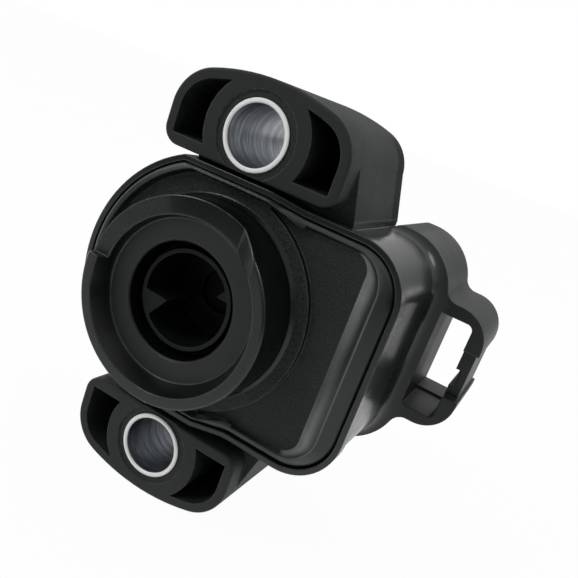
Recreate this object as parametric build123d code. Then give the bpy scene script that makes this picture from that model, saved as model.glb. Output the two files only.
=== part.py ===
from build123d import *
import math
import os

os.makedirs("parts", exist_ok=True)

# Throttle position sensor. X points to the connector side, Y from the hub to the back, Z up.
# The origin lies on the rotor's axis, in the plane of the ears' front faces.

# Screw sleeves and the ears that hold them
bolt_spacing = 38.0
bolt_line_x = 0.7
sleeve_od = 7.7
sleeve_bore = 6.7
sleeve_proud = 0.1
sleeve_chamfer = 0.12
sleeve_fit = 0.02
sleeve_seat_d = 9.4
sleeve_seat_depth = 0.2
ear_half_width = 10.9
ear_gap = 0.5
ear_margin = 6.0
ear_corner_r = 5.0
ear_base_corner_r = 2.0
ear_depth = 20.0
ear_lip_depth = 3.2
ear_wall = 1.15
ear_base_wall = 1.3
ear_edge_r = 0.3
boss_r = 6.3
pocket_floor = 3.0
pocket_corner_r = 0.5
ear_root_x = -7.6
buttress_rise = 0.6
buttress_reach = 1.55

# Body of the housing: a round can about the rotor's axis that runs into a narrower, lower square end
rim_left_r = 15.85
rim_flat = 1.55
rim_right_x = 21.45
rim_corner_r = 6.2
rim_left_y = 0.4
rim_right_y = 1.1
rim_lip = 0.65
rim_step = 0.3
rim_lip_depth = 1.8
bend_drop = 0.5
bend_start_x = 4.4
bend_end_x = 8.4
bend_r = 4.0
body_wall = 2.0
rear_wall = 2.6
rear_y = 20.0
rear_boss_r = 6.5
rear_boss_height = 0.8

# Connector shroud with its latch loop
flange_y = 18.0
shroud_end_y = 31.5
shroud_left_x = 13.6
shroud_right_x = 23.0
shroud_half_height = 14.3
shroud_corner_r = 7.3
shroud_left_corner_r = 1.2
shroud_wall = 1.7
shroud_floor = 2.0
cove_r = 2.6
loop_right_x = 29.2
loop_half_height = 8.0
loop_corner_r = 4.2
loop_root_r = 1.8
loop_side_wall = 1.6
loop_bar = 2.0
loop_inner_r = 0.8
catch_half_height = 3.2
catch_setback = 1.5
catch_relief = 0.35
catch_notch_z = -0.7
catch_notch_height = 2.2
catch_notch_depth = 0.65
loop_seam_y = 26.5
loop_seam_step = 0.25
key_rib_width = 1.4
key_rib_height = 0.8

# Front cover
cover_gap = 0.15
cover_back_y = 5.0
bead_left_y = 0.25
bead_right_y = 1.3
bead_round = 0.45
crest_inset = 1.55
crest_flat_inset = 1.1
crest_right_inset = 1.4
crest_end_inset = 2.65
crest_corner_r = 4.0
field_y = 2.05
field_inset = 0.4
field_right_inset = 0.5
field_ramp = 2.1
field_corner_r = 2.0
pad_y = 1.3
pad_width = 1.85

# Pilot hub on the cover
hub_od = 22.7
hub_front_y = -5.4
hub_rim_width = 1.3
hub_edge = 0.22
hub_foot = 0.4
hub_wall = 1.8
annulus_y = -3.1
annulus_r = 9.0
annulus_thickness = 2.1
seat_floor_y = 0.9
seat_chamfer = 0.2
bearing_end_y = 6.5
bearing_wall = 1.9
rim_cut_depth = 1.05
rim_cut_rise = 0.08
rim_cut_low_x = 4.6
rim_cut_end_x = 7.8
rim_cut_z = 1.2

# Rotor
journal_r = 5.64
journal_clearance = 0.06
cup_wall = 0.45
cup_front_y = -1.8
socket_floor_y = 5.9
tang_angle = 26.0
tang_half_angle = 16.5
tang_tip_r = 2.4
tang_top_y = 0.8
second_tang_top_y = -1.75
socket_dish_r = 2.6
socket_dish_depth = 1.3
shoulder_step = 1.16
shoulder_gap = 0.3
disc_gap = 2.15
disc_y = 11.8
disc_thickness = 1.5
pivot_r = 2.0
pivot_clearance = 0.04
pivot_end_y = 17.0
pivot_end_gap = 0.4
pivot_boss_r = 4.0
pivot_boss_y = 14.2
travel = 95.0
lug_reach = 1.1
lug_half_angle = 9.0
stop_margin = 2.0
stop_width = 8.0
stop_overlap = 0.6
lug_clearance = 0.5

# Seal, spiral spring and contact
seal_width = 0.86
seal_height = 1.7
seal_fit = 0.05
seal_clearance = 0.08
strip_thickness = 0.3
strip_height = 3.0
strip_front_y = 7.6
spring_half_turns = 7
spring_pitch = 0.95
spring_gap = 0.7
spring_clearance = 0.06
inner_hook = 1.4
outer_hook = 1.4
post_width = 1.3
post_length = 1.6
post_end_y = 11.0
wiper_thickness = 0.3
wiper_arm_width = 1.1
wiper_arm_length = 3.2
wiper_plate_half_angle = 10.0
wiper_tip = 0.5
wiper_inset = 3.2
track_step = 2.4
wiper_gap = 0.08
wiper_angle = 150.0

# Resistive element and terminals
board_thickness = 1.0
board_gap = 3.15
board_flat_gap = 2.8
board_corner = 2.4
board_hole_clearance = 0.6
stake_r = 0.9
stake_clearance = 0.08
stake_inset = 2.0
stake_flat_inset = 2.6
stake_head = 0.6
terminal_pitch = 6.0
terminal_width = 1.5
terminal_thickness = 0.64
terminal_tip_y = 29.3
terminal_tip_taper = 0.9
terminal_overlap = 1.6
terminal_fit = 0.02

# Cutters start and end this far outside what they cut
overshoot = 1.0

# Places that follow from the sizes above
ear_top_r = bolt_spacing / 2 + ear_margin
buttress_top_z = bolt_spacing / 2 + buttress_rise
rim_left_half = rim_left_r - rim_flat
rim_right_half = rim_left_half - bend_drop
ear_base_z = rim_left_half + ear_gap
crest_left_r = rim_left_r - crest_inset
crest_left_half = rim_left_half - crest_flat_inset
crest_right_half = rim_right_half - crest_right_inset
crest_right_x = rim_right_x - crest_end_inset
chamber_r = rim_left_r - rim_step - body_wall
chamber_back_y = rear_y - rear_wall
board_front_y = chamber_back_y - board_thickness
cover_inset = rim_lip + cover_gap
bearing_r = journal_r + journal_clearance
bearing_outer_r = bearing_r + bearing_wall
seat_r = journal_r + seal_width
shoulder_r = journal_r + shoulder_step
hub_r = hub_od / 2
hub_inner_r = hub_r - hub_wall
annulus_back_y = annulus_y + annulus_thickness
rim_cut_left_y = hub_front_y + rim_cut_depth
rim_cut_low_y = annulus_y - rim_cut_rise
cup_r = journal_r - cup_wall
disc_back_y = disc_y + disc_thickness
pad_r = hub_r + pad_width
disc_r = chamber_r - disc_gap
lug_angle = 180 + travel / 2
spring_inner_r = shoulder_r + spring_gap
spring_end_x = -(spring_inner_r + (spring_half_turns - 1) * spring_pitch / 2)
strip_back_y = strip_front_y + strip_height
wiper_outer_r = disc_r - wiper_inset
wiper_inner_r = wiper_outer_r - track_step
board_half_width = chamber_r - board_gap
board_half_height = rim_left_half - rim_step - body_wall - board_flat_gap
stake_x = stake_inset - board_half_width
stake_z = board_half_height - stake_flat_inset
terminal_x = (shroud_left_x + shroud_right_x) / 2
loop_window_x = loop_right_x - loop_bar


def slab(face, front, back):
    """An outline drawn as seen from the hub's side, carried from one depth to another."""
    return extrude(Plane.XZ.offset(-front) * face, amount=front - back)


def turned(*points):
    """A profile of (radius, depth) points turned about the rotor's axis."""
    return revolve(make_face(Polyline(*points, close=True)), Axis.Y)


def polar(radius, angle):
    return radius * math.cos(math.radians(angle)), radius * math.sin(math.radians(angle))


def d_outline(left_r, left_half, right_half, right_x, corner_r):
    """A round end about the rotor's axis, flats that draw in along a bend, and rounded right corners."""
    left_x = -math.sqrt(left_r**2 - left_half**2)
    upper = [
        (left_x, left_half),
        (bend_start_x, left_half),
        (bend_end_x, right_half),
        (right_x, right_half),
    ]
    lower = [(x, -z) for x, z in reversed(upper)]
    round_end = ThreePointArc(lower[-1], (-left_r, 0), upper[0])
    outline = Sketch() + make_face([round_end, Polyline(*upper, *lower)])
    outline = fillet(outline.vertices().group_by(Axis.X)[-1], corner_r)
    bends = [v for v in outline.vertices() if bend_start_x - 0.01 < v.X < bend_end_x + 0.01]
    return fillet(bends, bend_r)


def rim_outline(inset):
    return d_outline(
        rim_left_r - inset,
        rim_left_half - inset,
        rim_right_half - inset,
        rim_right_x - inset,
        rim_corner_r - inset,
    )


def front_waste(left_y, right_y):
    """All that lies in front of an edge which drops along the bend from one level to a lower one."""
    outline = Polyline(
        (-2 * rim_left_r, left_y),
        (bend_start_x, left_y),
        (bend_end_x, right_y),
        (2 * rim_right_x, right_y),
        (2 * rim_right_x, 2 * hub_front_y),
        (-2 * rim_left_r, 2 * hub_front_y),
        close=True,
    )
    face = Sketch() + make_face(outline)
    bends = [v for v in face.vertices() if bend_start_x - 0.01 < v.X < bend_end_x + 0.01]
    face = fillet(bends, bend_r)
    return extrude(face, amount=2 * rim_left_half, both=True)


def sector(inner_r, outer_r, start, end):
    """A piece of a flat ring between two angles, counted from +X towards +Z."""
    middle = (start + end) / 2
    outer = ThreePointArc(polar(outer_r, start), polar(outer_r, middle), polar(outer_r, end))
    inner = ThreePointArc(polar(inner_r, end), polar(inner_r, middle), polar(inner_r, start))
    sides = [Line(outer @ 1, inner @ 0), Line(inner @ 1, outer @ 0)]
    return make_face([outer, inner, *sides])


def ear_outline(inset, base_z):
    """An ear's front: straight sides, rounded corners and a top arc about the middle of the bolt line."""
    top_r = ear_top_r - inset
    half_width = ear_half_width - inset
    height = top_r - base_z
    outline = Circle(top_r) & Pos(0, base_z + height / 2) * Rectangle(2 * half_width, height)
    upper = outline.vertices().group_by(Axis.Y)[-1]
    return fillet(upper, ear_corner_r - inset)


def ear():
    """The upper ear: a thin-walled block with a boss for the sleeve and a deep pocket on either side."""
    front = ear_outline(0, ear_base_z)
    front = fillet(front.vertices().group_by(Axis.Y)[0], ear_base_corner_r)
    block = slab(front, 0, ear_depth)
    block = fillet(block.faces().sort_by(Axis.Y)[0].outer_wire().edges(), ear_edge_r)

    root_z = rim_right_half - body_wall
    foot = ear_half_width + buttress_reach
    root = make_face(
        Polyline(
            (ear_root_x, root_z),
            (ear_root_x, ear_base_z + ear_base_wall),
            (ear_half_width - ear_wall, buttress_top_z),
            (ear_half_width, buttress_top_z),
            (foot, ear_base_z - 0.6),
            (foot, root_z),
            close=True,
        )
    )
    block += slab(root, ear_lip_depth, ear_depth)

    pocket = ear_outline(ear_wall, ear_base_z + ear_base_wall)
    pocket -= Pos(0, bolt_spacing / 2) * Circle(boss_r)
    for side in pocket.faces():
        corners = side.vertices().group_by(Axis.Y)
        side = fillet(corners[0] + corners[-1], pocket_corner_r)
        block -= slab(side, -overshoot, ear_depth - pocket_floor)
    return Pos(bolt_line_x, 0, 0) * block


def sleeve_hole():
    centre = Pos(bolt_line_x, bolt_spacing / 2)
    hole = slab(centre * Circle(sleeve_od / 2 + sleeve_fit), -overshoot, ear_depth + overshoot)
    return hole + slab(centre * Circle(sleeve_seat_d / 2), -overshoot, sleeve_seat_depth)


def sleeve():
    """A plain turned tube, a little longer than the ear is deep, with broken edges."""
    inner = sleeve_bore / 2
    outer = sleeve_od / 2
    front = -sleeve_proud
    back = ear_depth + sleeve_proud
    bevel = sleeve_chamfer
    tube = turned(
        (inner + bevel, front),
        (outer - bevel, front),
        (outer, front + bevel),
        (outer, back - bevel),
        (outer - bevel, back),
        (inner + bevel, back),
        (inner, back - bevel),
        (inner, front + bevel),
    )
    return Pos(bolt_line_x, 0, bolt_spacing / 2) * tube


def shroud_outline():
    """The connector's outline with the latch loop that stands out beside it."""
    width = shroud_right_x - shroud_left_x
    shroud = Pos(shroud_left_x + width / 2, 0) * Rectangle(width, 2 * shroud_half_height)
    shroud = fillet(shroud.vertices().group_by(Axis.X)[-1], shroud_corner_r)
    shroud = fillet(shroud.vertices().group_by(Axis.X)[0], shroud_left_corner_r)
    reach = loop_right_x - terminal_x
    loop = Pos(terminal_x + reach / 2, 0) * Rectangle(reach, 2 * loop_half_height)
    loop = fillet(loop.vertices().group_by(Axis.X)[-1], loop_corner_r)
    outline = shroud + loop
    roots = [
        corner
        for corner in outline.vertices()
        if corner.X < shroud_right_x + 0.01 and abs(abs(corner.Y) - loop_half_height) < 0.01
    ]
    return fillet(roots, loop_root_r)


def cove():
    """The hollow curve by which the body's right side runs out into the connector's front face."""
    right_x = rim_right_x - rim_step
    half_height = rim_right_half - rim_step
    corner_r = rim_corner_r - rim_step
    turn_x = right_x - corner_r
    turn_z = half_height - corner_r
    knee = corner_r * math.sqrt(0.5)
    path = Curve() + [
        Line((terminal_x - corner_r, half_height), (turn_x, half_height)),
        ThreePointArc((turn_x, half_height), (turn_x + knee, turn_z + knee), (right_x, turn_z)),
        Line((right_x, turn_z), (right_x, -turn_z)),
        ThreePointArc((right_x, -turn_z), (turn_x + knee, -turn_z - knee), (turn_x, -half_height)),
        Line((turn_x, -half_height), (terminal_x - corner_r, -half_height)),
    ]
    path = Plane.XZ * path
    sunk = body_wall / 2
    start = Plane(origin=(terminal_x - corner_r, flange_y, half_height), x_dir=(0, 0, 1), z_dir=(1, 0, 0))
    outline = [
        Line((-sunk, -sunk), (cove_r, -sunk)),
        Line((cove_r, -sunk), (cove_r, 0)),
        RadiusArc((cove_r, 0), (0, cove_r), cove_r),
        Line((0, cove_r), (-sunk, cove_r)),
        Line((-sunk, cove_r), (-sunk, -sunk)),
    ]
    path = Pos(0, flange_y, 0) * path
    swept = sweep(start * make_face(outline), path=path)
    return swept & slab(shroud_outline(), flange_y - cove_r, flange_y + sunk)


def housing():
    """The moulded shell with everything that is one piece with it."""
    body = slab(rim_outline(rim_step), rim_left_y, rear_y)
    body += slab(rim_outline(0), rim_left_y, rim_right_y + rim_lip_depth)
    body -= front_waste(rim_left_y, rim_right_y)
    body += slab(Circle(rear_boss_r), rear_y - overshoot, rear_y + rear_boss_height)
    body += ear()
    body += mirror(ear(), Plane.XY)
    body += slab(shroud_outline(), flange_y, shroud_end_y)
    body += cove()

    # Seat for the cover and the chamber under it
    body -= slab(rim_outline(rim_lip), rim_left_y - overshoot, cover_back_y)
    chamber = rim_outline(rim_step + body_wall)
    body -= slab(chamber, rim_left_y, chamber_back_y)

    # Rear pivot, board stakes and the stops for the rotor's lug
    pivot = slab(Circle(pivot_boss_r), pivot_boss_y, chamber_back_y)
    body += pivot
    pivot_bore = Circle(pivot_r + pivot_clearance)
    body -= slab(pivot_bore, pivot_boss_y - overshoot, pivot_end_y + pivot_end_gap)
    stop_inner_r = disc_r + lug_clearance
    limit = lug_half_angle + stop_margin
    for start in (lug_angle + limit, lug_angle - travel - limit - stop_width):
        rib = sector(stop_inner_r, chamber_r + body_wall / 2, start, start + stop_width)
        body += slab(rib, disc_y - stop_overlap, disc_back_y + stop_overlap)
    for side in (1, -1):
        stake = Pos(stake_x, side * stake_z) * Circle(stake_r)
        body += slab(stake, board_front_y - stake_head, chamber_back_y + overshoot / 2)

    # Sleeve holes
    body -= sleeve_hole()
    body -= mirror(sleeve_hole(), Plane.XY)

    # Connector: shroud cavity with key ribs, terminal slots, and the window of the latch loop
    cavity_width = shroud_right_x - shroud_left_x - 2 * shroud_wall
    cavity_height = 2 * (shroud_half_height - shroud_wall)
    cavity = Rectangle(cavity_width, cavity_height)
    cavity = fillet(cavity.vertices(), cavity_width / 2 - 0.2)
    cavity = Pos(terminal_x, 0) * cavity
    rib_x = shroud_left_x + shroud_wall + key_rib_height / 2
    for rib_z in (-terminal_pitch / 2, terminal_pitch / 2):
        cavity -= Pos(rib_x, rib_z) * Rectangle(key_rib_height, key_rib_width)
    body -= slab(cavity, rear_y + shroud_floor, shroud_end_y + overshoot)
    slot_width = terminal_thickness + 2 * terminal_fit
    slot_height = terminal_width + 2 * terminal_fit
    for step in (-1, 0, 1):
        slot = Pos(terminal_x, step * terminal_pitch) * Rectangle(slot_width, slot_height)
        body -= slab(slot, chamber_back_y - overshoot, rear_y + shroud_floor + overshoot)

    window_width = loop_window_x - shroud_right_x
    window_half = loop_half_height - loop_side_wall
    window = Pos(shroud_right_x + window_width / 2, 0) * Rectangle(window_width, 2 * window_half)
    window = fillet(window.vertices().group_by(Axis.X)[-1], loop_inner_r)
    body -= slab(window, flange_y - cove_r - overshoot, loop_seam_y)
    rear_half = window_half - loop_seam_step
    rear_window = Pos(shroud_right_x + window_width / 2, 0) * Rectangle(window_width, 2 * rear_half)
    rear_window = fillet(rear_window.vertices().group_by(Axis.X)[-1], loop_inner_r)
    body -= slab(rear_window, loop_seam_y - overshoot, shroud_end_y + overshoot)

    # Catch in the middle of the loop's bar: set back, relieved outside and notched inside
    bar_x = loop_window_x + loop_bar / 2
    bar_front = Pos(bar_x, 0) * Rectangle(loop_bar + overshoot, 2 * catch_half_height)
    body -= slab(bar_front, flange_y - overshoot, flange_y + catch_setback)
    relief_x = loop_right_x - catch_relief / 2 + overshoot / 2
    relief = Pos(relief_x, 0) * Rectangle(catch_relief + overshoot, 2 * catch_half_height)
    body -= slab(relief, flange_y - overshoot, shroud_end_y + overshoot)
    notch_x = loop_window_x + (catch_notch_depth - overshoot) / 2
    notch = Pos(notch_x, catch_notch_z) * Rectangle(catch_notch_depth + overshoot, catch_notch_height)
    body -= slab(notch, flange_y - overshoot, loop_seam_y)
    return body


def front_cover():
    """The lid: a rounded bead around a sunk field, a low round pad and the stepped pilot hub."""
    plate = slab(rim_outline(cover_inset), bead_left_y - overshoot, cover_back_y)
    plate -= front_waste(bead_left_y, bead_right_y)
    back_y = cover_back_y - bead_round
    outer = [e for e in plate.edges() if e.bounding_box().max.Y < back_y]
    plate = fillet(outer, bead_round)
    crest = d_outline(crest_left_r, crest_left_half, crest_right_half, crest_right_x, crest_corner_r)
    field = d_outline(
        crest_left_r - field_inset,
        crest_left_half - field_inset,
        crest_right_half - field_right_inset,
        crest_right_x - field_ramp,
        field_corner_r,
    )
    plate -= loft([Plane.XZ.offset(-bead_left_y) * crest, Plane.XZ.offset(-pad_y) * field], ruled=True)
    sunk = loft([Plane.XZ.offset(-pad_y) * crest, Plane.XZ.offset(-field_y) * field], ruled=True)
    sunk -= slab(Circle(pad_r), bead_left_y - overshoot, cover_back_y)
    right_half = Pos(rim_right_x, 0) * Rectangle(2 * (rim_right_x - bend_start_x), 4 * rim_left_half)
    plate -= sunk & slab(right_half, bead_left_y, cover_back_y)
    plate -= slab(Circle(hub_inner_r), bead_left_y - overshoot, cover_back_y + overshoot)

    hub = turned(
        (seat_r + seat_chamfer, annulus_y),
        (seat_r, annulus_y + seat_chamfer),
        (seat_r, seat_floor_y),
        (bearing_r, seat_floor_y),
        (bearing_r, bearing_end_y),
        (bearing_outer_r, bearing_end_y),
        (bearing_outer_r, annulus_back_y),
        (hub_inner_r, annulus_back_y),
        (hub_inner_r, cover_back_y),
        (hub_r + hub_foot, cover_back_y),
        (hub_r + hub_foot, pad_y),
        (hub_r, pad_y - hub_foot),
        (hub_r, hub_front_y + hub_edge),
        (hub_r - hub_edge, hub_front_y),
        (hub_r - hub_rim_width, hub_front_y),
        (annulus_r, annulus_y),
    )
    # The upper rim slopes down to the annulus from left to right, then ramps up to full height
    rim_cut = make_face(
        Polyline(
            (-hub_r, rim_cut_left_y),
            (rim_cut_low_x, rim_cut_low_y),
            (rim_cut_end_x, hub_front_y),
            (rim_cut_end_x, hub_front_y - overshoot),
            (-hub_r - overshoot, hub_front_y - overshoot),
            (-hub_r - overshoot, rim_cut_left_y),
            close=True,
        )
    )
    hub -= Pos(0, 0, rim_cut_z) * extrude(rim_cut, amount=hub_r, dir=(0, 0, 1))

    # Post that holds the spring's outer end
    post_x = spring_end_x + strip_thickness / 2 - outer_hook + post_length / 2 - spring_pitch
    post_z = strip_thickness / 2 + spring_clearance + post_width / 2
    post = Pos(post_x, post_z) * Rectangle(post_length, post_width)
    return plate + hub + slab(post, cover_back_y - overshoot, post_end_y)


def rotor():
    """The drive cup with its tangs, the disc that carries the contact, and the rear pivot."""
    shoulder_y = bearing_end_y + shoulder_gap
    body = turned(
        (cup_r, cup_front_y),
        (journal_r, cup_front_y),
        (journal_r, shoulder_y),
        (shoulder_r, shoulder_y),
        (shoulder_r, disc_y),
        (disc_r, disc_y),
        (disc_r, disc_back_y),
        (pivot_r, disc_back_y),
        (pivot_r, pivot_end_y),
        (0, pivot_end_y),
        (0, socket_floor_y),
        (cup_r, socket_floor_y),
    )
    for turn, top_y in ((0, tang_top_y), (180, second_tang_top_y)):
        angle = tang_angle + turn
        root_r = cup_r + cup_wall / 2
        tang = make_face(
            Polyline(
                polar(tang_tip_r, angle),
                polar(root_r, angle - tang_half_angle),
                polar(root_r, angle + tang_half_angle),
                close=True,
            )
        )
        body += slab(tang, top_y, socket_floor_y + overshoot / 2)
    body -= slab(Circle(socket_dish_r), socket_floor_y, socket_floor_y + socket_dish_depth)
    lug = sector(disc_r - overshoot, disc_r + lug_reach, lug_angle - lug_half_angle, lug_angle + lug_half_angle)
    body += slab(lug, disc_y, disc_back_y)

    # Slot for the spring's inner end
    slot_x = spring_inner_r + strip_thickness / 2 - inner_hook / 2
    slot = Pos(slot_x, 0) * Rectangle(inner_hook + 2 * spring_clearance, strip_thickness + 2 * spring_clearance)
    body -= slab(slot, strip_front_y - spring_clearance, strip_back_y + spring_clearance)
    return body


def rotor_seal():
    """A rubber ring in the hub's seat, shaped to a lip where it meets the rotor."""
    outer = seat_r - seal_fit
    inner = journal_r + seal_clearance
    middle = (outer + inner) / 2
    front = seat_floor_y - seal_height
    return turned(
        (inner, front + seal_height / 3),
        (middle, front),
        (outer, front + seal_height / 3),
        (outer, seat_floor_y),
        (middle, seat_floor_y - seal_height / 4),
        (inner, seat_floor_y),
    )


def return_spring():
    """A spiral of steel strip about the rotor's shoulder: one end in the rotor, the other behind the post."""
    half = strip_thickness / 2
    hook = Rectangle(inner_hook, strip_thickness)
    strip = Pos(spring_inner_r + half - inner_hook / 2, 0) * hook
    for half_turn in range(spring_half_turns):
        radius = spring_inner_r + half_turn * spring_pitch / 2
        start = 180 * (half_turn % 2)
        centre = Pos((half_turn % 2) * spring_pitch / 2, 0)
        strip += centre * sector(radius - half, radius + half, start, start + 180)
    hook = Rectangle(outer_hook, strip_thickness)
    strip += Pos(spring_end_x + half - outer_hook / 2, 0) * hook
    return slab(strip, strip_front_y, strip_back_y)


def wiper_contact():
    """A pressed brass contact: a plate on the rotor's disc and two arms that reach back to the tracks."""
    inner = wiper_inner_r - wiper_arm_width / 2
    outer = wiper_outer_r + wiper_arm_width / 2
    half_span = wiper_plate_half_angle
    plate = sector(inner, outer, wiper_angle - half_span, wiper_angle + half_span)
    contact = slab(plate, disc_back_y, disc_back_y + wiper_thickness)
    touch_y = board_front_y - wiper_gap
    for radius in (wiper_inner_r, wiper_outer_r):
        side = make_face(
            Polyline(
                (0, disc_back_y),
                (wiper_arm_length, touch_y - wiper_thickness),
                (wiper_arm_length + wiper_tip, touch_y - wiper_thickness),
                (wiper_arm_length + wiper_tip, touch_y),
                (wiper_arm_length - wiper_tip / 2, touch_y),
                (0, disc_back_y + wiper_thickness),
                close=True,
            )
        )
        arm = extrude(side, amount=wiper_arm_width / 2, both=True)
        arm = Rot(0, 90 - wiper_angle, 0) * Pos(0, 0, radius) * arm
        contact += arm
    return contact


def element_board():
    """The ceramic plate that carries the resistive track, with holes for the pivot and the stakes."""
    plate = Rectangle(2 * board_half_width, 2 * board_half_height)
    plate = chamfer(plate.vertices().group_by(Axis.X)[0], board_corner)
    plate -= Circle(pivot_boss_r + board_hole_clearance)
    for side in (1, -1):
        plate -= Pos(stake_x, side * stake_z) * Circle(stake_r + stake_clearance)
    return slab(plate, board_front_y, chamber_back_y)


def terminal(place):
    """A bent pin: a foot soldered to the board's edge and a tapered blade in the connector."""
    foot_y = board_front_y - terminal_thickness
    foot_x = board_half_width - terminal_overlap
    half = terminal_thickness / 2
    profile = Polyline(
        (foot_x, foot_y),
        (terminal_x + half, foot_y),
        (terminal_x + half, terminal_tip_y - terminal_tip_taper),
        (terminal_x + half / 3, terminal_tip_y),
        (terminal_x - half / 3, terminal_tip_y),
        (terminal_x - half, terminal_tip_y - terminal_tip_taper),
        (terminal_x - half, board_front_y),
        (foot_x, board_front_y),
        close=True,
    )
    pin = extrude(make_face(profile), amount=terminal_width / 2, both=True)
    return Pos(0, 0, place * terminal_pitch) * pin


pieces = {
    "housing": housing(),
    "front_cover": front_cover(),
    "upper_sleeve": sleeve(),
    "lower_sleeve": mirror(sleeve(), Plane.XY),
    "rotor": rotor(),
    "rotor_seal": rotor_seal(),
    "return_spring": return_spring(),
    "wiper_contact": wiper_contact(),
    "element_board": element_board(),
    "terminal_supply": terminal(1),
    "terminal_signal": terminal(0),
    "terminal_ground": terminal(-1),
}

for name, shape in pieces.items():
    export_step(shape, f"parts/{name}.step")
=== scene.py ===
import bmesh
import bpy
import math
from mathutils import Matrix, Vector


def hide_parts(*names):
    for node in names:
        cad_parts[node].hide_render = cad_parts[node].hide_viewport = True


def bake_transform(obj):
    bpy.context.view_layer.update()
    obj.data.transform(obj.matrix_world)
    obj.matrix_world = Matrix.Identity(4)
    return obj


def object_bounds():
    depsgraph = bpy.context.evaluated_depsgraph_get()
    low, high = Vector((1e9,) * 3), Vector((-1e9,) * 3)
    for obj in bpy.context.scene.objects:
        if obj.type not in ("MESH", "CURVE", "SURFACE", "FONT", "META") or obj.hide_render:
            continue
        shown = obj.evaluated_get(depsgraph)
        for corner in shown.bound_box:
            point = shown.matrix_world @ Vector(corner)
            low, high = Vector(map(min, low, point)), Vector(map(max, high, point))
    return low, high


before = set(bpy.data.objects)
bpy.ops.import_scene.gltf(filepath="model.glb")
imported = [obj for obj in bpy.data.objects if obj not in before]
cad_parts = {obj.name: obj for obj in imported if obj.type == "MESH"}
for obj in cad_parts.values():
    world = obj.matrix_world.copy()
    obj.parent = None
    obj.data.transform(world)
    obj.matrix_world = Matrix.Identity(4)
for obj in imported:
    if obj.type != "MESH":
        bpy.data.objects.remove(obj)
solid_low, solid_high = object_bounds()

# Housing: one moulding in black glass-filled plastic, with the can, the screw ears and the plug shroud.
# The tool left a spark grain on the ears' sides; the can was drawn from polished steel, so it shines,
# and the ears' front faces, the shroud and the back are satin.
GRAIN_SIZE = 0.00017
GRAIN_DEPTH = 0.00014
GRAIN_STRENGTH = (0.04, 0.9)
GRAIN_ROUGHNESS = 0.42
SATIN_ROUGHNESS = 0.32
POLISHED_ROUGHNESS = (0.21, 0.29)
PLASTIC_SPECULAR = 0.45
WAVE_SIZE = 0.0042
WAVE_DEPTH = 0.00002
WAVE_STRENGTH = 0.6
FLOW_SIZE = 0.007
SCUFF_SIZE = 0.0009
NOISE_CORE = (0.35, 0.65)
NOISE_SPAN = (0.3, 0.7)
SPECK_SPAN = (0.41, 0.61)
GLOSS_DARK = (0.0078, 0.0101, 0.0105)
GLOSS_PALE = (0.0112, 0.0142, 0.0146)
PIT_DARK = (0.0022, 0.0030, 0.0033)
PIT_PALE = (0.0160, 0.0205, 0.0212)
SATIN_BLACK = (0.0070, 0.0090, 0.0094)
PAINTED_SHADE_BLACK = (0.0014, 0.0019, 0.0021)
PAINTED_SHADE_SHARE = 0.85
PAINTED_SHEEN_GREY = (0.220, 0.232, 0.232)
PAINTED_SHEEN_SHARES = (0.6, 1)
WORN_GREY = (0.060, 0.067, 0.068)
WORN_SHARES = (0.2, 0.9)
EDGE_TURN = (0.82, 0.985)
EDGE_SAMPLES = 8
BODY_EDGE = 0.00025
EAR_FACE_Y = 0.00004
EAR_FACE_FADE = 0.0002
EAR_FACE_SMOOTHED = 0.75
EAR_FOOT_Z = 0.0141
EAR_FOOT_FADE = 0.0006
FLANGE_Y = 0.018
SHROUD_FRONT_Y = (FLANGE_Y - 0.0012, FLANGE_Y - 0.0004)
SHROUD_X = (0.0085, 0.0105)
SHROUD_SATIN = 0.8
BACK_TURN = (0.8, 0.95)


def link(tree, source, target):
    tree.links.new(source, target)


def add_node(tree, kind, **values):
    node = tree.nodes.new(kind)
    for name, value in values.items():
        setattr(node, name, value)
    return node


def noise_at(tree, place, size, detail, roughness=0.5):
    """Noise whose features are about so many metres across."""
    noise = add_node(tree, "ShaderNodeTexNoise")
    noise.inputs["Scale"].default_value = 1 / size
    noise.inputs["Detail"].default_value = detail
    noise.inputs["Roughness"].default_value = roughness
    link(tree, place, noise.inputs["Vector"])
    return noise.outputs["Fac"]


def spread(tree, value, low, high, out_low, out_high):
    """Maps a span of a value smoothly onto another span."""
    span = add_node(tree, "ShaderNodeMapRange", interpolation_type="SMOOTHSTEP")
    span.inputs["From Min"].default_value = low
    span.inputs["From Max"].default_value = high
    span.inputs["To Min"].default_value = out_low
    span.inputs["To Max"].default_value = out_high
    link(tree, value, span.inputs["Value"])
    return span.outputs["Result"]


def arithmetic(tree, operation, first, second=0):
    node = add_node(tree, "ShaderNodeMath", operation=operation)
    for socket, value in zip(node.inputs, (first, second)):
        if isinstance(value, (int, float)):
            socket.default_value = value
        else:
            link(tree, value, socket)
    return node.outputs["Value"]


def product(tree, first, second):
    return arithmetic(tree, "MULTIPLY", first, second)


def total(tree, first, second):
    return arithmetic(tree, "ADD", first, second)


def larger(tree, first, second):
    return arithmetic(tree, "MAXIMUM", first, second)


def tint(tree, share, first, second):
    """Goes from the first colour to the second by a share."""
    mix = add_node(tree, "ShaderNodeMix", data_type="RGBA")
    for socket, colour in ((mix.inputs["A"], first), (mix.inputs["B"], second)):
        if isinstance(colour, tuple):
            socket.default_value = (*colour, 1)
        else:
            link(tree, colour, socket)
    link(tree, share, mix.inputs["Factor"])
    return mix.outputs["Result"]


def split(tree, vector):
    """A vector's X, Y and Z."""
    axes = add_node(tree, "ShaderNodeSeparateXYZ")
    link(tree, vector, axes.inputs["Vector"])
    return axes


def new_finish(name):
    """A material with its shader and the place on the piece, in metres."""
    material = bpy.data.materials.new(name)
    material.use_nodes = True
    tree = material.node_tree
    shader = tree.nodes["Principled BSDF"]
    place = add_node(tree, "ShaderNodeTexCoord").outputs["Object"]
    return material, tree, shader, place


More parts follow.
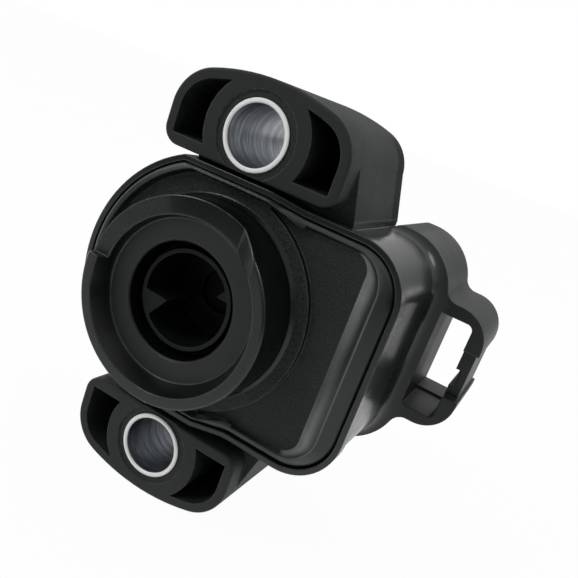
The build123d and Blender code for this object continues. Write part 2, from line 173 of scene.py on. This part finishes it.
def rounded_edges(tree, radius):
    """The normal of edges broken by so much, and how near to such an edge a point lies."""
    soft = add_node(tree, "ShaderNodeBevel", samples=EDGE_SAMPLES)
    if isinstance(radius, float):
        soft.inputs["Radius"].default_value = radius
    else:
        link(tree, radius, soft.inputs["Radius"])
    flat = add_node(tree, "ShaderNodeNewGeometry")
    turn = add_node(tree, "ShaderNodeVectorMath", operation="DOT_PRODUCT")
    link(tree, soft.outputs["Normal"], turn.inputs[0])
    link(tree, flat.outputs["Normal"], turn.inputs[1])
    return soft.outputs["Normal"], spread(tree, turn.outputs["Value"], *EDGE_TURN, 1, 0)


def relief(tree, shader, normal, layers):
    """Bumps laid over each other: height, depth in metres and strength of each."""
    for height, depth, strength in layers:
        bump = add_node(tree, "ShaderNodeBump")
        bump.inputs["Distance"].default_value = depth
        if isinstance(strength, (int, float)):
            bump.inputs["Strength"].default_value = strength
        else:
            link(tree, strength, bump.inputs["Strength"])
        link(tree, height, bump.inputs["Height"])
        link(tree, normal, bump.inputs["Normal"])
        normal = bump.outputs["Normal"]
    link(tree, normal, shader.inputs["Normal"])


def black_plastic(name, zones, edge_wear):
    """Black plastic, polished where no zone makes it grained or satin, with painted shade and a painted
    sheen where the zones ask for them.
    """
    material, tree, shader, place = new_finish(name)
    facing = split(tree, add_node(tree, "ShaderNodeNewGeometry").outputs["Normal"])
    grained, satin, painted_shade, painted_sheen, edge_round = zones(tree, split(tree, place), facing)
    normal, _ = rounded_edges(tree, edge_round)
    _, edge = rounded_edges(tree, edge_wear)
    flow = noise_at(tree, place, FLOW_SIZE, 3)
    speck = noise_at(tree, place, GRAIN_SIZE, 2)
    scuff = noise_at(tree, place, SCUFF_SIZE, 3)
    gloss = tint(tree, spread(tree, flow, *NOISE_CORE, 0, 1), GLOSS_DARK, GLOSS_PALE)
    pits = tint(tree, spread(tree, speck, *SPECK_SPAN, 0, 1), PIT_DARK, PIT_PALE)
    colour = tint(tree, grained, gloss, pits)
    colour = tint(tree, satin, colour, SATIN_BLACK)
    # Painted shade: a darker black laid on the zones that stand in for shade.
    colour = tint(tree, product(tree, painted_shade, PAINTED_SHADE_SHARE), colour, PAINTED_SHADE_BLACK)
    # Painted sheen: a paler grey laid where the zones stand in for a highlight.
    uneven = spread(tree, flow, *NOISE_SPAN, *PAINTED_SHEEN_SHARES)
    colour = tint(tree, product(tree, painted_sheen, uneven), colour, PAINTED_SHEEN_GREY)
    worn = product(tree, edge, spread(tree, scuff, *NOISE_CORE, *WORN_SHARES))
    link(tree, tint(tree, worn, colour, WORN_GREY), shader.inputs["Base Color"])
    shader.inputs["Specular IOR Level"].default_value = PLASTIC_SPECULAR
    rough = spread(tree, flow, *NOISE_SPAN, *POLISHED_ROUGHNESS)
    rough = total(tree, rough, product(tree, grained, GRAIN_ROUGHNESS))
    rough = total(tree, rough, product(tree, satin, SATIN_ROUGHNESS))
    link(tree, rough, shader.inputs["Roughness"])
    layers = (
        (noise_at(tree, place, WAVE_SIZE, 2), WAVE_DEPTH, WAVE_STRENGTH),
        (speck, GRAIN_DEPTH, spread(tree, grained, 0, 1, *GRAIN_STRENGTH)),
    )
    relief(tree, shader, normal, layers)
    return material


def housing_zones(tree, axes, facing):
    height = arithmetic(tree, "ABSOLUTE", axes.outputs["Z"])
    sides = spread(tree, height, EAR_FOOT_Z, EAR_FOOT_Z + EAR_FOOT_FADE, 0, 1)
    face = spread(tree, axes.outputs["Y"], EAR_FACE_Y, EAR_FACE_Y + EAR_FACE_FADE, 1, 0)
    shroud = spread(tree, axes.outputs["Y"], *SHROUD_FRONT_Y, 0, SHROUD_SATIN)
    shroud = product(tree, shroud, spread(tree, axes.outputs["X"], *SHROUD_X, 0, 1))
    back = spread(tree, facing.outputs["Y"], *BACK_TURN, 0, SHROUD_SATIN)
    satin = larger(tree, face, larger(tree, shroud, back))
    grained = arithmetic(tree, "SUBTRACT", sides, product(tree, face, EAR_FACE_SMOOTHED))
    return grained, satin, 0, 0, BODY_EDGE


def dress(node, material):
    """Gives a solid its finish."""
    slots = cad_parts[node].data.materials
    slots.clear()
    slots.append(material)


dress("housing", black_plastic("body_plastic", housing_zones, BODY_EDGE))

# Front cover: the same plastic, moulded apart and sealed into the can's rim with a fine gap all round.
# Its bead is polished, with a painted highlight on its right slope and crest; the ring face in the hub
# is satin, the hub's walls and the cut stretch of its rim are smooth with painted shade, and the field, the
# pad and the rim are grained.
COVER_EDGE = 0.00035
BEAD_ROUND = 0.0010
PAD_R = 0.0132
PAD_EDGE_R = (PAD_R - 0.00005, PAD_R + 0.00015)
HUB_R = 0.01135
HUB_EDGE_R = (HUB_R, HUB_R + 0.0001)
HUB_FOOT_Y = (-0.0002, 0.0008)
HUB_GRAIN = 0.45
WALL_TURN = (0.7, 0.85)
CUT_TOWARDS = (0.174, 0.985)
CUT_LEAN = (0.79, 0.93)
RING_FACE_Y = -0.0031
RING_FADE_Y = (RING_FACE_Y + 0.0001, RING_FACE_Y + 0.0003)
RING_FACE_R = 0.0090
RING_EDGE_R = (RING_FACE_R - 0.00005, RING_FACE_R + 0.00005)
CUT_START_R = (RING_FACE_R + 0.0002, RING_FACE_R + 0.0007)
BEAD_LEFT_Y = 0.00025
BEAD_RIGHT_Y = 0.0013
BEAD_BEND = (0.0044, 0.0084)
BEAD_DEPTH = (0.0004, 0.0007)
SLOPE_TURN = (-0.3, -0.1)
FOOT_DEPTH = (0.0001, 0.0005)
FOOT_END_SQUARED = 0.00009
FOOT_PAINTED_SHEEN = 0.5
LIP_DEPTH = (0.00003, 0.00009)
LIP_PAINTED_SHEEN = 0.5
CREST_DEPTH = (0.00004, 0.00016)
CREST_START_SQUARED = (0.00007, 0.00015)
CREST_PAINTED_SHEEN = 0.3


def bead_painted_sheen(tree, behind, along, facing, outside_pad):
    """How much painted highlight the bead gets: on its right slope's foot and lip, and on its crest away
    from the middle.
    """
    slope = product(tree, spread(tree, facing.outputs["X"], *SLOPE_TURN, 1, 0), outside_pad)
    reach = spread(tree, along, 0, FOOT_END_SQUARED, FOOT_PAINTED_SHEEN, 1)
    foot = product(tree, spread(tree, behind, *FOOT_DEPTH, 0, 1), reach)
    lip = spread(tree, behind, *LIP_DEPTH, LIP_PAINTED_SHEEN, 0)
    crest = product(tree, spread(tree, behind, *CREST_DEPTH, CREST_PAINTED_SHEEN, 0), outside_pad)
    crest = product(tree, crest, spread(tree, along, *CREST_START_SQUARED, 0, 1))
    return larger(tree, product(tree, slope, larger(tree, foot, lip)), crest)


def hub_painted_shade(tree, axes, facing, radius, outside_pad):
    """Painted shade on the hub's walls and on the stretch of its rim that is cut lower; the same zone is
    kept smooth.
    """
    wall = spread(tree, arithmetic(tree, "ABSOLUTE", facing.outputs["Y"]), *WALL_TURN, 1, 0)
    wall = product(tree, wall, arithmetic(tree, "SUBTRACT", 1, outside_pad))
    lean_x = product(tree, axes.outputs["X"], CUT_TOWARDS[0])
    lean = total(tree, lean_x, product(tree, axes.outputs["Z"], CUT_TOWARDS[1]))
    cut = spread(tree, arithmetic(tree, "DIVIDE", lean, radius), *CUT_LEAN, 0, 1)
    cut = product(tree, cut, spread(tree, radius, *CUT_START_R, 0, 1))
    cut = product(tree, cut, spread(tree, radius, *HUB_EDGE_R, 1, 0))
    return larger(tree, wall, cut)


def cover_zones(tree, axes, facing):
    bead_front = spread(tree, axes.outputs["X"], *BEAD_BEND, BEAD_LEFT_Y, BEAD_RIGHT_Y)
    behind = arithmetic(tree, "SUBTRACT", axes.outputs["Y"], bead_front)
    across = product(tree, axes.outputs["X"], axes.outputs["X"])
    along = product(tree, axes.outputs["Z"], axes.outputs["Z"])
    radius = arithmetic(tree, "SQRT", total(tree, across, along))
    outside_pad = spread(tree, radius, *PAD_EDGE_R, 0, 1)
    bead = product(tree, spread(tree, behind, *BEAD_DEPTH, 1, 0), outside_pad)
    in_ring = spread(tree, radius, *RING_EDGE_R, 1, 0)
    ring = product(tree, in_ring, spread(tree, axes.outputs["Y"], *RING_FADE_Y, 1, 0))
    # Painted shade on the hub's walls and its cut stretch, which are also kept smooth.
    wall = hub_painted_shade(tree, axes, facing, radius, outside_pad)
    hub = spread(tree, axes.outputs["Y"], *HUB_FOOT_Y, HUB_GRAIN, 1)
    smooth = larger(tree, wall, larger(tree, bead, ring))
    grained = larger(tree, arithmetic(tree, "SUBTRACT", hub, smooth), 0)
    # Painted highlight on the bead's right slope and crest.
    painted_sheen = bead_painted_sheen(tree, behind, along, facing, outside_pad)
    return grained, ring, wall, painted_sheen, spread(tree, bead, 0, 1, COVER_EDGE, BEAD_ROUND)


dress("front_cover", black_plastic("cover_plastic", cover_zones, COVER_EDGE))

# Screw sleeves: cut from steel tube and pressed into the ears, so that the screws clamp metal, not plastic.
# The drill left fine rings in the bores, and the faced-off front ends are brighter.
BORE_STRETCH = (0.1, 1, 0.1)
BORE_RING_SIZE = 0.0006
BORE_RING_DEPTH = 0.00004
BORE_RING_STRENGTH = 0.5
BORE_RING_SPAN = (0.4, 0.68)
STEEL_CLOUD_SIZE = 0.003
STEEL_DARK = (0.2, 0.215, 0.235)
STEEL_MID = (0.3, 0.315, 0.335)
STEEL_PALE = (0.56, 0.58, 0.6)
STEEL_ROUGHNESS = (0.28, 0.42)
END_FACE_Y = (0.00005, 0.0002)
END_FACE_PALE = (0.88, 0.88, 0.87)
END_FACE_METALLIC = 0.25
END_FACE_ROUGHNESS = 0.2
SLEEVE_EDGE = 0.00006


def turned_steel(name):
    material, tree, shader, place = new_finish(name)
    stretch = add_node(tree, "ShaderNodeMapping")
    stretch.inputs["Scale"].default_value = BORE_STRETCH
    link(tree, place, stretch.inputs["Vector"])
    rings = noise_at(tree, stretch.outputs["Vector"], BORE_RING_SIZE, 5, 0.7)
    cloud = noise_at(tree, place, STEEL_CLOUD_SIZE, 3)
    dull = tint(tree, spread(tree, cloud, *NOISE_CORE, 0, 1), STEEL_DARK, STEEL_MID)
    steel = tint(tree, spread(tree, rings, *BORE_RING_SPAN, 0, 1), dull, STEEL_PALE)
    end_face = spread(tree, split(tree, place).outputs["Y"], *END_FACE_Y, 1, 0)
    link(tree, tint(tree, end_face, steel, END_FACE_PALE), shader.inputs["Base Color"])
    link(tree, spread(tree, end_face, 0, 1, 1, END_FACE_METALLIC), shader.inputs["Metallic"])
    rough = spread(tree, cloud, *NOISE_SPAN, *STEEL_ROUGHNESS)
    rough = total(tree, rough, product(tree, end_face, END_FACE_ROUGHNESS))
    link(tree, rough, shader.inputs["Roughness"])
    normal, _ = rounded_edges(tree, SLEEVE_EDGE)
    relief(tree, shader, normal, ((rings, BORE_RING_DEPTH, BORE_RING_STRENGTH),))
    return material


sleeve_steel = turned_steel("sleeve_steel")
dress("upper_sleeve", sleeve_steel)
dress("lower_sleeve", sleeve_steel)

# Rotor: the drive cup that the throttle shaft's blade turns, moulded in one with its disc and pivot.
# It is a slippery unfilled plastic, smoother than the housing and a little darker; its paler edges are
# partly wear and partly a painted highlight.
SMOOTH_FLOW_SIZE = 0.003
SMOOTH_SPECULAR = 0.22
SMOOTH_EDGE = 0.0001
RUB_SIZE = 0.0007
RUB_SPAN = (0.35, 0.7)
RUB_SHARES = (0.1, 0.9)
SMOOTH_UNEVEN = 0.05
SMOOTH_BUMP_SIZE = 0.0003
SMOOTH_BUMP_DEPTH = 0.00003
SMOOTH_BUMP_STRENGTH = 0.25
ROTOR_DARK = (0.0026, 0.0036, 0.0039)
ROTOR_PALE = (0.0048, 0.0062, 0.0066)
ROTOR_WEAR_AND_HIGHLIGHT = (0.075, 0.08, 0.08)
ROTOR_ROUGHNESS = 0.5


def smooth_plastic(name, dark, pale, worn, roughness):
    material, tree, shader, place = new_finish(name)
    flow = noise_at(tree, place, SMOOTH_FLOW_SIZE, 3)
    shader.inputs["Specular IOR Level"].default_value = SMOOTH_SPECULAR
    normal, edge = rounded_edges(tree, SMOOTH_EDGE)
    rub = spread(tree, noise_at(tree, place, RUB_SIZE, 3), *RUB_SPAN, *RUB_SHARES)
    # Paler edges: wear, and on the rotor partly a painted highlight along thin edges.
    colour = tint(tree, product(tree, edge, rub), tint(tree, flow, dark, pale), worn)
    link(tree, colour, shader.inputs["Base Color"])
    roughest = roughness + SMOOTH_UNEVEN
    rough = spread(tree, flow, *NOISE_SPAN, roughness - SMOOTH_UNEVEN, roughest)
    link(tree, rough, shader.inputs["Roughness"])
    bumps = noise_at(tree, place, SMOOTH_BUMP_SIZE, 2)
    relief(tree, shader, normal, ((bumps, SMOOTH_BUMP_DEPTH, SMOOTH_BUMP_STRENGTH),))
    return material


dress("rotor", smooth_plastic("rotor_plastic", ROTOR_DARK, ROTOR_PALE, ROTOR_WEAR_AND_HIGHLIGHT, ROTOR_ROUGHNESS))

# Rotor seal: a ring of black rubber round the rotor, which keeps dust and oil out of the can.
# It is moulded, and pushed into the hub's seat.
SEAL_DARK = (0.005, 0.005, 0.0052)
SEAL_PALE = (0.009, 0.009, 0.0092)
SEAL_WORN = (0.012, 0.012, 0.012)
SEAL_ROUGHNESS = 0.64

dress("rotor_seal", smooth_plastic("seal_rubber", SEAL_DARK, SEAL_PALE, SEAL_WORN, SEAL_ROUGHNESS))

# Return spring: a spiral of blue-grey spring strip, hooked in the rotor's slot and behind the cover's post.
SPRING_R = 0.0075
SPRING_PITCH = 0.00095
SPRING_HALF_TURNS = 7
STRIP_HALF = 0.00015
STRIP_FRONT_Y = 0.0076
STRIP_BACK_Y = 0.0106
HOOK_REACH = 0.0011
STEPS_PER_HALF_TURN = 24
STAIN_SIZE = 0.0025
METAL_UNEVEN = 0.06
METAL_EDGE = 0.00006
METAL_BUMP_SIZE = 0.0005
METAL_BUMP_DEPTH = 0.00001
METAL_BUMP_STRENGTH = 0.4
SPRING_DARK = (0.42, 0.43, 0.46)
SPRING_PALE = (0.55, 0.56, 0.58)
SPRING_ROUGHNESS = 0.34


def plain_metal(name, dark, pale, roughness):
    material, tree, shader, place = new_finish(name)
    stain = noise_at(tree, place, STAIN_SIZE, 3)
    link(tree, tint(tree, stain, dark, pale), shader.inputs["Base Color"])
    shader.inputs["Metallic"].default_value = 1
    roughest = roughness + METAL_UNEVEN
    rough = spread(tree, stain, *NOISE_SPAN, roughness - METAL_UNEVEN, roughest)
    link(tree, rough, shader.inputs["Roughness"])
    normal, _ = rounded_edges(tree, METAL_EDGE)
    bumps = noise_at(tree, place, METAL_BUMP_SIZE, 3)
    relief(tree, shader, normal, ((bumps, METAL_BUMP_DEPTH, METAL_BUMP_STRENGTH),))
    return material


def grow(mesh, face, shift):
    """Carries a face on by a shift and returns it at its new place."""
    grown = bmesh.ops.extrude_face_region(mesh, geom=[face])["geom"]
    bmesh.ops.delete(mesh, geom=[face], context="FACES_ONLY")
    corners = [part for part in grown if isinstance(part, bmesh.types.BMVert)]
    bmesh.ops.translate(mesh, verts=corners, vec=shift)
    return next(part for part in grown if isinstance(part, bmesh.types.BMFace))


def wall_beside(end, inwards):
    """The wall next to an end face that looks to the spiral's middle, or away from it."""
    walls = [face for edge in end.edges for face in edge.link_faces if face is not end]
    return max(walls, key=lambda face: inwards * face.calc_center_median().z)


def straight_strip(first, last):
    """The strip before it is wound: the turn in radians along X, and Z towards the middle."""
    mesh = bmesh.new()
    section = (
        (STRIP_FRONT_Y, -STRIP_HALF),
        (STRIP_BACK_Y, -STRIP_HALF),
        (STRIP_BACK_Y, STRIP_HALF),
        (STRIP_FRONT_Y, STRIP_HALF),
    )
    end = mesh.faces.new([mesh.verts.new((-first, y, z)) for y, z in section])
    end = grow(mesh, end, (2 * first, 0, 0))
    inner_wall = wall_beside(end, 1)
    wound = SPRING_HALF_TURNS * math.pi - first - last
    end = grow(mesh, end, (wound, 0, 0))
    long_edges = [edge for edge in mesh.edges if edge.calc_length() > wound / 2]
    steps = SPRING_HALF_TURNS * STEPS_PER_HALF_TURN
    bmesh.ops.subdivide_edges(mesh, edges=long_edges, cuts=steps - 1)
    end = grow(mesh, end, (2 * last, 0, 0))
    outer_wall = wall_beside(end, -1)
    grow(mesh, inner_wall, (0, 0, HOOK_REACH))
    grow(mesh, outer_wall, (0, 0, -HOOK_REACH))
    bmesh.ops.holes_fill(mesh, edges=mesh.edges, sides=4)
    bmesh.ops.recalc_face_normals(mesh, faces=mesh.faces)
    return mesh


def wound_point(turn, depth, inwards):
    """Half circles about two centres in turn, each wider than the last."""
    half_turn = min(max(int(turn // math.pi), 0), SPRING_HALF_TURNS - 1)
    radius = SPRING_R + half_turn * SPRING_PITCH / 2 - inwards
    centre = half_turn % 2 * SPRING_PITCH / 2
    return centre + radius * math.cos(turn), depth, radius * math.sin(turn)


def wound_spring():
    first = STRIP_HALF / SPRING_R
    last = STRIP_HALF / (SPRING_R + (SPRING_HALF_TURNS - 1) * SPRING_PITCH / 2)
    strip = bpy.data.meshes.new("spring_strip")
    mesh = straight_strip(first, last)
    mesh.to_mesh(strip)
    mesh.free()
    strip.materials.append(plain_metal("spring_steel", SPRING_DARK, SPRING_PALE, SPRING_ROUGHNESS))
    spring = bpy.data.objects.new("spring_strip", strip)
    bpy.context.scene.collection.objects.link(spring)
    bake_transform(spring)
    for vertex in strip.vertices:
        vertex.co = wound_point(*vertex.co)
    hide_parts("return_spring")


wound_spring()

# Wiper contact and terminals: pressed from thin brass strip. The wiper is fixed to the rotor's disc,
# and the three pins are bent and pushed through the shroud's floor.
BRASS_DARK = (0.62, 0.47, 0.22)
BRASS_PALE = (0.76, 0.6, 0.31)
BRASS_ROUGHNESS = 0.3

contact_brass = plain_metal("contact_brass", BRASS_DARK, BRASS_PALE, BRASS_ROUGHNESS)
for node in ("wiper_contact", "terminal_supply", "terminal_signal", "terminal_ground"):
    dress(node, contact_brass)

# Element board: the plate that carries the resistive track, on which the wiper's arms slide.
# It is pressed and fired from white ceramic, and staked to the housing.
CERAMIC_CLOUD_SIZE = 0.002
CERAMIC_DARK = (0.74, 0.74, 0.70)
CERAMIC_PALE = (0.84, 0.84, 0.81)
CERAMIC_ROUGHNESS = (0.55, 0.7)


def fired_ceramic(name):
    material, tree, shader, place = new_finish(name)
    cloud = noise_at(tree, place, CERAMIC_CLOUD_SIZE, 4)
    link(tree, tint(tree, cloud, CERAMIC_DARK, CERAMIC_PALE), shader.inputs["Base Color"])
    rough = spread(tree, cloud, *NOISE_SPAN, *CERAMIC_ROUGHNESS)
    link(tree, rough, shader.inputs["Roughness"])
    return material


dress("element_board", fired_ceramic("board_ceramic"))

# Stage: a pale floor just under the lower ear and a white surround that is dim in front of the object.
# Reflections see the white only behind the object and on the floor near it.
# One soft lamp stands above to the left and a weaker one to the right.
FLOOR_SIZE = 4
FLOOR_GAP = 0.0002
FLOOR_GREY = (0.85, 0.85, 0.85, 1)
FLOOR_ROUGHNESS = 0.8
FLOOR_SHOWN = 0.96
FLOOR_NEAR_Y = (-0.2, -0.04)
FLOOR_FRONT_GLOW = 0.03
VIEW_AHEAD = (-0.332, 0.905, -0.266)
BACKDROP_CONE = (0.76, 0.94)
SURROUND_Y = (-0.5, 0.4)
SURROUND_GLOW = (0.09, 0.34)
LEFT_X = (-0.95, -0.45)
LEFT_GLOW = 0.6
ABOVE_Z = (0.1, 0.4)
ABOVE_GLOW = 0.45
LAMP_AIM = (0.005, 0.01, 0)


def seen_by(tree):
    """1 for what is seen straight or through glass, and 1 for what is seen in a shiny surface."""
    path = add_node(tree, "ShaderNodeLightPath")
    through = larger(tree, path.outputs["Is Camera Ray"], path.outputs["Is Transmission Ray"])
    return through, path.outputs["Is Glossy Ray"]


def pale_floor(height):
    bpy.ops.mesh.primitive_plane_add(size=FLOOR_SIZE, location=(0, 0, height))
    floor = bpy.context.object
    floor.name = "floor"
    material, tree, shader, place = new_finish("pale_floor")
    shader.inputs["Base Color"].default_value = FLOOR_GREY
    shader.inputs["Roughness"].default_value = FLOOR_ROUGHNESS
    white = add_node(tree, "ShaderNodeEmission")
    mix = add_node(tree, "ShaderNodeMixShader")
    through, glossy = seen_by(tree)
    near = spread(tree, split(tree, place).outputs["Y"], *FLOOR_NEAR_Y, FLOOR_FRONT_GLOW, 1)
    link(tree, larger(tree, through, near), white.inputs["Strength"])
    link(tree, product(tree, larger(tree, through, glossy), FLOOR_SHOWN), mix.inputs["Fac"])
    link(tree, shader.outputs["BSDF"], mix.inputs[1])
    link(tree, white.outputs["Emission"], mix.inputs[2])
    link(tree, mix.outputs["Shader"], tree.nodes["Material Output"].inputs["Surface"])
    floor.data.materials.append(material)


def studio_surround():
    world = bpy.data.worlds.new("studio")
    bpy.context.scene.world = world
    world.use_nodes = True
    sky = world.node_tree
    background = sky.nodes["Background"]
    background.inputs["Color"].default_value = (1, 1, 1, 1)
    direction = add_node(sky, "ShaderNodeTexCoord").outputs["Generated"]
    towards = split(sky, direction)
    glow = spread(sky, towards.outputs["Y"], *SURROUND_Y, *SURROUND_GLOW)
    glow = total(sky, glow, spread(sky, towards.outputs["X"], *LEFT_X, LEFT_GLOW, 0))
    glow = total(sky, glow, spread(sky, towards.outputs["Z"], *ABOVE_Z, 0, ABOVE_GLOW))
    through, glossy = seen_by(sky)
    behind = add_node(sky, "ShaderNodeVectorMath", operation="DOT_PRODUCT")
    behind.inputs[1].default_value = VIEW_AHEAD
    link(sky, direction, behind.inputs[0])
    backdrop = product(sky, glossy, spread(sky, behind.outputs["Value"], *BACKDROP_CONE, 0, 1))
    glow = larger(sky, glow, larger(sky, through, backdrop))
    link(sky, glow, background.inputs["Strength"])


def soft_lamp(name, place, size, power):
    lamp = bpy.data.lights.new(name, "AREA")
    lamp.shape = "DISK"
    lamp.size = size
    lamp.energy = power
    stand = bpy.data.objects.new(name, lamp)
    bpy.context.scene.collection.objects.link(stand)
    away = Vector(place) - Vector(LAMP_AIM)
    turn = away.to_track_quat("Z", "Y").to_matrix().to_4x4()
    stand.matrix_world = Matrix.Translation(place) @ turn


pale_floor(solid_low[2] - FLOOR_GAP)
studio_surround()
soft_lamp("lamp_above_left", place=(-0.16, -0.16, 0.2), size=0.12, power=0.26)
soft_lamp("lamp_right", place=(0.2, 0.1, 0.2), size=0.1, power=0.1)

# Camera: close in front of the hub, above and to the right, rolled so that the upper ear leans left.
# Its place, turn and lens come from the two sleeve rings, fitted as circles in the photograph.
CAMERA_PLACE = (0.03358, -0.06394, 0.02461)
CAMERA_RIGHT = (0.846, 0.411, 0.340)
CAMERA_LENS = 42.43
CAMERA_SENSOR = 36
CAMERA_NEAR = 0.005

camera_data = bpy.data.cameras.new("camera")
camera_data.sensor_width = CAMERA_SENSOR
camera_data.lens = CAMERA_LENS
camera_data.clip_start = CAMERA_NEAR
camera = bpy.data.objects.new("camera", camera_data)
bpy.context.scene.collection.objects.link(camera)
ahead = Vector(VIEW_AHEAD).normalized()
up = Vector(CAMERA_RIGHT).normalized().cross(ahead).normalized()
right = ahead.cross(up)
turn = Matrix((right, up, -ahead)).transposed().to_4x4()
camera.matrix_world = Matrix.Translation(CAMERA_PLACE) @ turn
bpy.context.scene.camera = camera
bpy.context.scene.view_settings.view_transform = "Standard"
